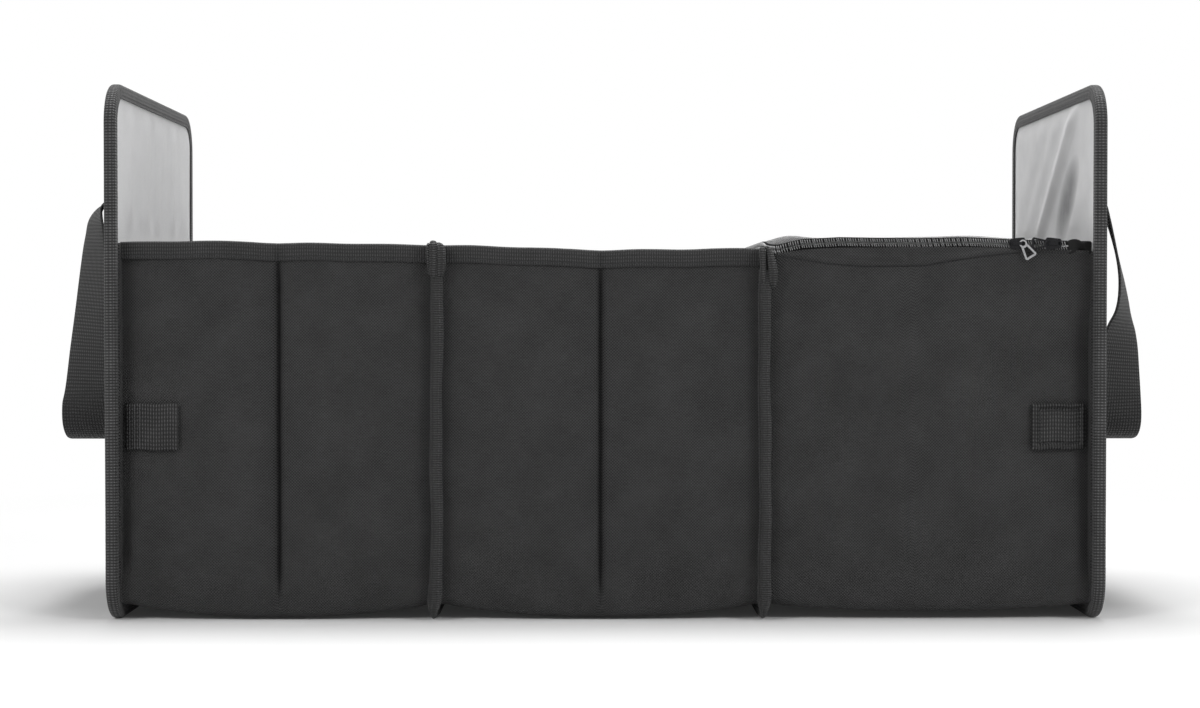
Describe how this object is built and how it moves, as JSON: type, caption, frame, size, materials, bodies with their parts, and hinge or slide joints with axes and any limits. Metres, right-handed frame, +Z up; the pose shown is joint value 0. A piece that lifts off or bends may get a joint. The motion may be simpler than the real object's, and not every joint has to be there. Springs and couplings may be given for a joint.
{
  "type": "collapsible car organizer",
  "caption": "Black fabric car boot organizer with open bays, a zipped insulated cooler bay, tall stiff end panels and webbing carrying handles.",
  "frame": {"origin": "on the ground under the middle of the organizer, halfway along and halfway deep", "axes": "+X along the length towards the cooler bay, +Y from front to back, +Z up"},
  "size_m": [0.748, 0.305, 0.358],
  "materials": {
    "cloth": "black woven polyester",
    "lining": "light grey lining cloth",
    "webbing": "black ribbed webbing",
    "board": "stiffening board",
    "foam": "white insulating foam",
    "liner": "welded silver grey liner film",
    "zip_tape": "black woven zip tape",
    "zip_coil": "black nylon coil",
    "zip_metal": "bright nickel"
  },
  "bodies": {
    "root": {"left_panel_cover": "cloth", "left_panel_board": "board", "left_panel_lining": "lining", "left_panel_binding": "webbing", "right_panel_cover": "cloth", "right_panel_board": "board", "right_panel_lining": "lining", "right_panel_binding": "webbing", "left_handle_front_end": "webbing", "left_handle_rear_end": "webbing", "right_handle_front_end": "webbing", "right_handle_rear_end": "webbing", "left_bay_shell": "cloth", "left_bay_lining": "lining", "left_bay_front_board_1": "board", "left_bay_front_board_2": "board", "left_bay_front_top_binding": "webbing", "left_bay_back_board_1": "board", "left_bay_back_board_2": "board", "left_bay_back_top_binding": "webbing", "middle_bay_shell": "cloth", "middle_bay_lining": "lining", "middle_bay_front_board_1": "board", "middle_bay_front_board_2": "board", "middle_bay_front_top_binding": "webbing", "middle_bay_back_board_1": "board", "middle_bay_back_board_2": "board", "middle_bay_back_top_binding": "webbing", "left_divider": "lining", "left_divider_binding": "webbing", "right_divider": "lining", "left_base_board": "cloth", "middle_base_board": "cloth", "left_seam_binding": "webbing", "right_seam_binding": "webbing", "front_left_tab": "webbing", "front_right_tab": "webbing", "back_left_tab": "webbing", "back_right_tab": "webbing", "cooler_shell": "cloth", "cooler_front_foam": "foam", "cooler_back_foam": "foam", "cooler_left_foam": "foam", "cooler_right_foam": "foam", "cooler_floor_foam": "foam", "cooler_liner": "liner", "lid_hinge_tape": "cloth", "wall_zip_tape": "zip_tape", "wall_zip_coil": "zip_coil"},
    "lid": {"lid_cover": "cloth", "lid_foam": "foam", "lid_liner": "liner", "lid_zip_tape": "zip_tape", "lid_zip_coil": "zip_coil"},
    "zip_slider": {"zip_slider": "zip_metal"},
    "zip_pull": {"zip_pull": "zip_metal"},
    "end_slider": {"end_slider": "zip_metal"},
    "end_pull": {"end_pull": "zip_metal"},
    "left_handle": {"left_handle_loop": "webbing"},
    "right_handle": {"right_handle_loop": "webbing"}
  },
  "joints": [
    {"name": "lid_hinge", "type": "hinge", "parent": "root", "child": "lid", "pos_m": [0.3073, 0, 0.2524], "axis": [0, 1, 0], "range_deg": [0, 92]},
    {"name": "zip_slide", "type": "slide", "parent": "root", "child": "zip_slider", "axis": [-1, 0, 0], "range_m": [0, 0.14]},
    {"name": "zip_pull_swing", "type": "hinge", "parent": "zip_slider", "child": "zip_pull", "pos_m": [0.2765, -0.1449, 0.251], "axis": [0, 1, 0], "range_deg": [0, 70]},
    {"name": "end_slide", "type": "slide", "parent": "root", "child": "end_slider", "axis": [1, 0, 0], "range_m": [0, 0.004]},
    {"name": "end_pull_lift", "type": "hinge", "parent": "end_slider", "child": "end_pull", "pos_m": [0.2956, -0.14485, 0.251], "axis": [0, 0, 1], "range_deg": [0, 120]},
    {"name": "left_handle_swing", "type": "hinge", "parent": "root", "child": "left_handle", "pos_m": [-0.3348, 0, 0.282], "axis": [0, 1, 0], "range_deg": [0, 130]},
    {"name": "right_handle_swing", "type": "hinge", "parent": "root", "child": "right_handle", "pos_m": [0.3348, 0, 0.282], "axis": [0, -1, 0], "range_deg": [0, 130]}
  ]
}
